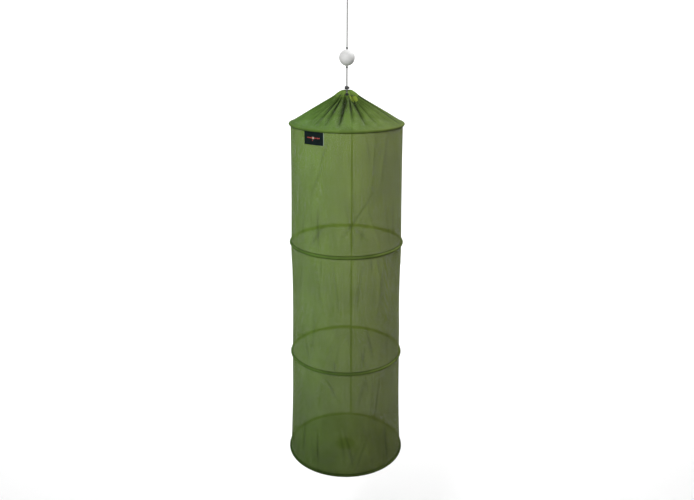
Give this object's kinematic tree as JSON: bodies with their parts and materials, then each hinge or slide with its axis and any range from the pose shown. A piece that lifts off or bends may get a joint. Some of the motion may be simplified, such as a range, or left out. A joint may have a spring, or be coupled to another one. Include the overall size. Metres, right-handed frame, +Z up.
{
  "type": "keepnet",
  "caption": "Collapsible cylindrical ring keepnet of fine mesh with a drawstring mouth, hung from a cord with a foam float.",
  "frame": {"origin": "the point where the inside of the cord's end loop rests on the hook, peg or hand that holds the net up", "axes": "+Z up along the hanging cord and the net's own axis, -Y towards the eyelet of the drawstring, +Y towards the wall seams"},
  "size_m": [0.4399, 0.44, 1.773],
  "materials": {
    "cord": "braided, matt",
    "foam": "smooth closed-cell foam",
    "lock_plastic": "moulded, satin",
    "eyelet_metal": "black oxide",
    "spring_steel": "drawn wire",
    "hoop_steel": "zinc-plated wire",
    "sleeve_fabric": "tight weave, matt",
    "mesh_fabric": "fine see-through mesh, matt",
    "hem_fabric": "gathered mesh, matt",
    "base_fabric": "fine mesh, matt",
    "seam_tape": "folded tape, matt",
    "label_fabric": "woven satin label"
  },
  "bodies": {
    "line": {"hang_cord": "cord", "loop_knot": "cord", "float_upper_knot": "cord", "float_lower_knot": "cord", "draw_cord": "cord", "mouth_eyelet": "eyelet_metal", "mouth_hem": "hem_fabric", "mouth_panel": "mesh_fabric", "mouth_seam": "seam_tape"},
    "float": {"float_ball": "foam"},
    "lock": {"cord_lock": "lock_plastic", "lock_spring": "spring_steel"},
    "button": {"lock_button": "lock_plastic"},
    "top_ring": {"hoop_top": "hoop_steel", "ferrule_top": "hoop_steel", "sleeve_top": "sleeve_fabric", "wall_upper": "mesh_fabric", "seam_upper": "seam_tape", "label": "label_fabric"},
    "upper_ring": {"hoop_upper": "hoop_steel", "ferrule_upper": "hoop_steel", "sleeve_upper": "sleeve_fabric", "wall_middle": "mesh_fabric", "seam_middle": "seam_tape"},
    "lower_ring": {"hoop_lower": "hoop_steel", "ferrule_lower": "hoop_steel", "sleeve_lower": "sleeve_fabric", "wall_lower": "mesh_fabric", "seam_lower": "seam_tape"},
    "base_ring": {"hoop_base": "hoop_steel", "ferrule_base": "hoop_steel", "sleeve_base": "sleeve_fabric", "base_panel": "base_fabric", "base_patch": "base_fabric"}
  },
  "joints": [
    {"name": "float_spin", "type": "hinge", "parent": "line", "child": "float", "pos_m": [0, 0, -0.281], "axis": [0, 0, 1], "continuous": true},
    {"name": "lock_slide", "type": "slide", "parent": "line", "child": "lock", "axis": [0, 0, 1], "range_m": [0, 0.056]},
    {"name": "button_press", "type": "slide", "parent": "lock", "child": "button", "axis": [-1, 0, 0], "range_m": [0, 0.002], "stiffness_N_per_m": 800, "springref_m": -0.002, "deforming": ["lock_spring"]},
    {"name": "mouth_fold", "type": "slide", "parent": "line", "child": "top_ring", "axis": [0, 0, 1], "range_m": [0, 0.083], "deforming": ["mouth_panel", "mouth_seam"]},
    {"name": "upper_fold", "type": "slide", "parent": "top_ring", "child": "upper_ring", "axis": [0, 0, 1], "range_m": [0, 0.41], "deforming": ["wall_upper", "seam_upper", "label"]},
    {"name": "middle_fold", "type": "slide", "parent": "upper_ring", "child": "lower_ring", "axis": [0, 0, 1], "range_m": [0, 0.418], "deforming": ["wall_middle", "seam_middle"]},
    {"name": "lower_fold", "type": "slide", "parent": "lower_ring", "child": "base_ring", "axis": [0, 0, 1], "range_m": [0, 0.394], "deforming": ["wall_lower", "seam_lower"]}
  ]
}
